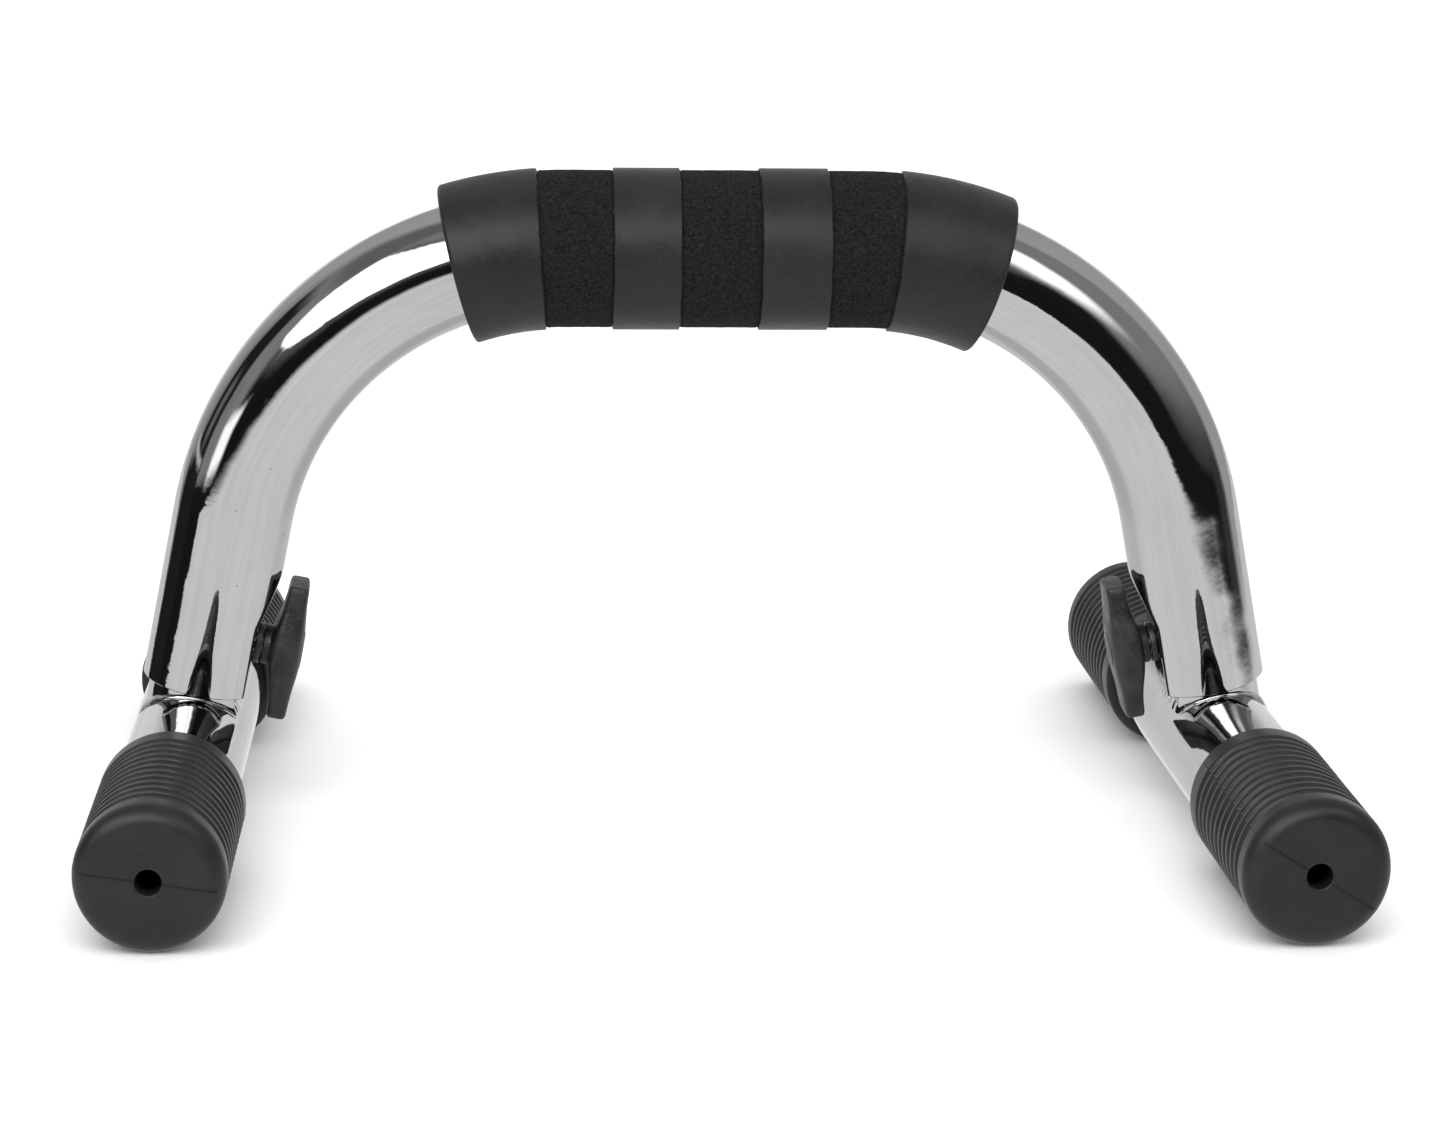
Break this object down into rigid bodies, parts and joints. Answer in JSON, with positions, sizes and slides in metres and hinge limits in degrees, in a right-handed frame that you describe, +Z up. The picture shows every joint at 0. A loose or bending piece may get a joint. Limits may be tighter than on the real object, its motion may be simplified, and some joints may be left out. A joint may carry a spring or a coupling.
{
  "type": "push-up stand",
  "caption": "Arched tubular hand grip with a foam sleeve on floor tubes with ribbed rubber feet, held by wing screws.",
  "frame": {"origin": "on the floor, at the middle of the bounding box", "axes": "+X across the handle from the left base to the right, +Y from the near feet to the far feet, +Z up"},
  "size_m": [0.2604, 0.181, 0.1403],
  "materials": {
    "chrome": "polished chrome plate",
    "grip_foam": "closed-cell foam, satin skin with rough ground bands",
    "foot_rubber": "moulded rubber, matte, ribbed",
    "knob_plastic": "moulded plastic, fine grain",
    "washer_nylon": "nylon, satin",
    "zinc_steel": "zinc plated"
  },
  "bodies": {
    "handle": {"handle_tube": "chrome", "foam_grip": "grip_foam"},
    "base_left": {"base_tube_left": "chrome", "post_left": "chrome", "foot_front_left": "foot_rubber", "foot_rear_left": "foot_rubber", "weld_nut_left": "zinc_steel"},
    "washer_left": {"knob_washer_left": "washer_nylon"},
    "knob_left": {"wing_knob_left": "knob_plastic", "screw_left": "zinc_steel"},
    "base_right": {"base_tube_right": "chrome", "post_right": "chrome", "foot_front_right": "foot_rubber", "foot_rear_right": "foot_rubber", "weld_nut_right": "zinc_steel"},
    "washer_right": {"knob_washer_right": "washer_nylon"},
    "knob_right": {"wing_knob_right": "knob_plastic", "screw_right": "zinc_steel"}
  },
  "joints": [
    {"name": "base_left_swivel", "type": "hinge", "parent": "handle", "child": "base_left", "pos_m": [-0.111, 0, 0.02861], "axis": [0.1954, 0, 0.9807], "range_deg": [-3.76, 1.04]},
    {"name": "knob_left_travel", "type": "slide", "parent": "base_left", "child": "washer_left", "axis": [0.9804, 0.0237, -0.1954], "range_m": [0, 0.00401]},
    {"name": "knob_left_turn", "type": "hinge", "parent": "washer_left", "child": "knob_left", "pos_m": [-0.10893, 0, 0.03901], "axis": [0.9804, 0.0237, -0.1954], "range_deg": [0, 1440]},
    {"name": "base_right_swivel", "type": "hinge", "parent": "handle", "child": "base_right", "pos_m": [0.10688, 0, 0.02861], "axis": [-0.1954, 0, 0.9807], "range_deg": [-3.8, 1]},
    {"name": "knob_right_travel", "type": "slide", "parent": "base_right", "child": "washer_right", "axis": [-0.9804, -0.0244, -0.1954], "range_m": [0, 0.00401]},
    {"name": "knob_right_turn", "type": "hinge", "parent": "washer_right", "child": "knob_right", "pos_m": [0.10481, 0, 0.03901], "axis": [-0.9804, -0.0244, -0.1954], "range_deg": [0, 1440]}
  ],
  "couplings": [
    {"joint": "knob_left_travel", "follows": "knob_left_turn", "m_per_rad": 0.00015915},
    {"joint": "knob_right_travel", "follows": "knob_right_turn", "m_per_rad": 0.00015915}
  ]
}
